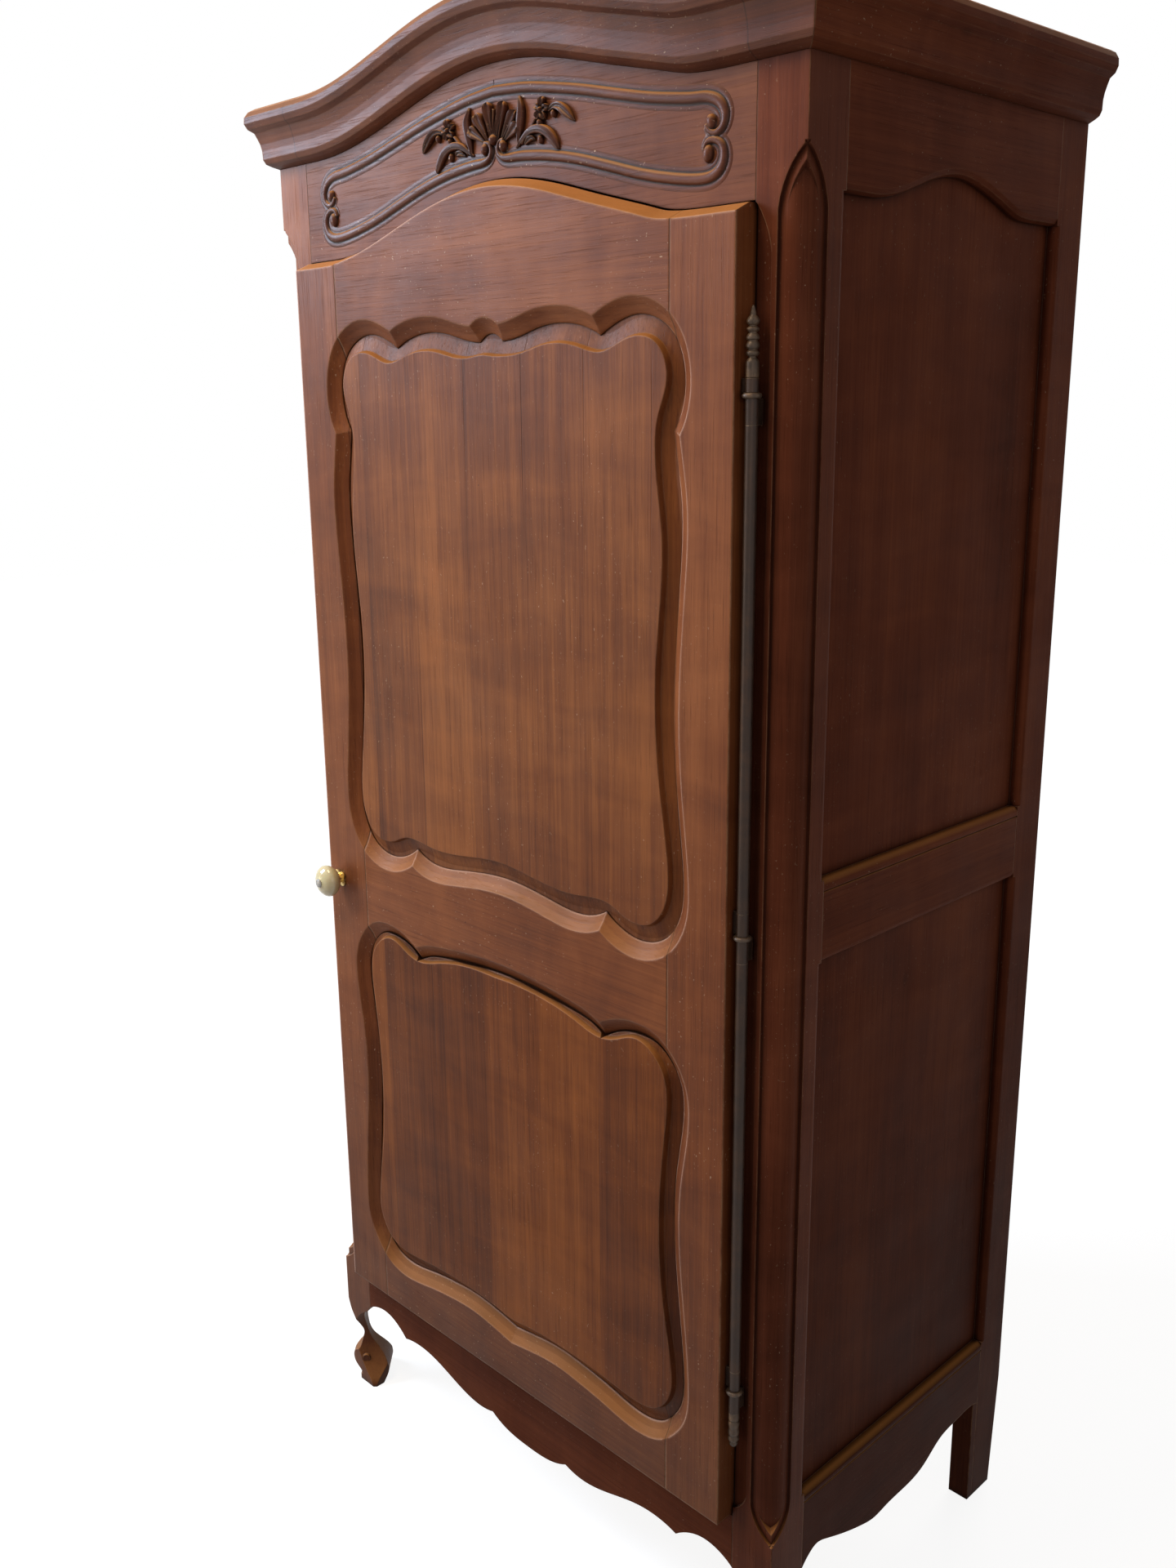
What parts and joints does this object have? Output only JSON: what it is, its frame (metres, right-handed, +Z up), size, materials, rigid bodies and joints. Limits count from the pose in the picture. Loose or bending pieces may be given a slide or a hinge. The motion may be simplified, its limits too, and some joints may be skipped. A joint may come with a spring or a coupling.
{
  "type": "one-door cupboard",
  "caption": "Tall arched provincial wooden cupboard with a panelled door on a long iron hinge column, porcelain knob, scalloped apron and scroll feet.",
  "frame": {"origin": "on the floor, under the middle of the box that holds the whole cupboard", "axes": "+X to the right of someone who faces the door, +Y from the door to the back, +Z up"},
  "size_m": [1.0294, 0.6564, 2.1825],
  "materials": {
    "walnut_frame": "old waxed walnut, dark red-brown with worn light edges",
    "walnut_cornice": "old waxed walnut, dark red-brown",
    "walnut_door": "old waxed walnut, red-brown",
    "walnut_panel": "old waxed walnut with strong figure, orange-brown streaks",
    "pale_inside_wood": "unfinished aged softwood",
    "hinge_iron": "dark brown iron, rubbed lighter on the turnings",
    "porcelain": "cream glazed porcelain",
    "old_brass": "tarnished brass"
  },
  "bodies": {
    "cabinet": {"right_front_stile": "walnut_frame", "left_front_stile": "walnut_frame", "frieze_rail": "walnut_frame", "front_apron": "walnut_frame", "right_rear_stile": "walnut_frame", "left_rear_stile": "walnut_frame", "right_rear_foot_bracket": "walnut_frame", "left_rear_foot_bracket": "walnut_frame", "right_side_top_rail": "walnut_frame", "left_side_top_rail": "walnut_frame", "right_side_middle_rail": "walnut_frame", "left_side_middle_rail": "walnut_frame", "right_side_apron": "walnut_frame", "left_side_apron": "walnut_frame", "cornice_front": "walnut_cornice", "right_cornice_side": "walnut_cornice", "left_cornice_side": "walnut_cornice", "right_side_upper_panel": "walnut_panel", "left_side_upper_panel": "walnut_panel", "right_side_lower_panel": "walnut_panel", "left_side_lower_panel": "walnut_panel", "back_top_rail": "pale_inside_wood", "back_middle_rail": "pale_inside_wood", "back_bottom_rail": "pale_inside_wood", "back_upper_panel": "pale_inside_wood", "back_lower_panel": "pale_inside_wood", "floor_board": "pale_inside_wood", "floor_bearers": "pale_inside_wood", "top_board": "pale_inside_wood", "top_bearers": "pale_inside_wood", "lower_shelf": "pale_inside_wood", "middle_shelf": "pale_inside_wood", "upper_shelf": "pale_inside_wood", "shelf_cleats": "pale_inside_wood", "hinge_pin": "hinge_iron", "hinge_top_finial": "hinge_iron", "hinge_bottom_finial": "hinge_iron", "hinge_rings": "hinge_iron", "upper_hinge_sleeve": "hinge_iron", "lower_hinge_sleeve": "hinge_iron", "upper_hinge_frame_leaf": "hinge_iron", "middle_hinge_frame_leaf": "hinge_iron", "lower_hinge_frame_leaf": "hinge_iron", "latch_strike": "old_brass"},
    "door": {"door_left_stile": "walnut_door", "door_right_stile": "walnut_door", "door_top_rail": "walnut_door", "door_middle_rail": "walnut_door", "door_bottom_rail": "walnut_door", "door_upper_panel": "walnut_panel", "door_lower_panel": "walnut_panel", "upper_hinge_door_leaf": "hinge_iron", "middle_hinge_door_leaf": "hinge_iron", "lower_hinge_door_leaf": "hinge_iron", "knob_rosette": "old_brass"},
    "knob": {"porcelain_knob": "porcelain", "knob_nose_screw": "old_brass", "knob_spindle": "hinge_iron", "latch_cam": "hinge_iron", "cam_nut": "hinge_iron"}
  },
  "joints": [
    {"name": "door_hinge", "type": "hinge", "parent": "cabinet", "child": "door", "pos_m": [0.424, -0.26775, 1], "axis": [0, 0, 1], "range_deg": [0, 165]},
    {"name": "knob_turn", "type": "hinge", "parent": "door", "child": "knob", "pos_m": [-0.384, -0.28275, 0.976], "axis": [0, -1, 0], "range_deg": [0, 90]}
  ]
}
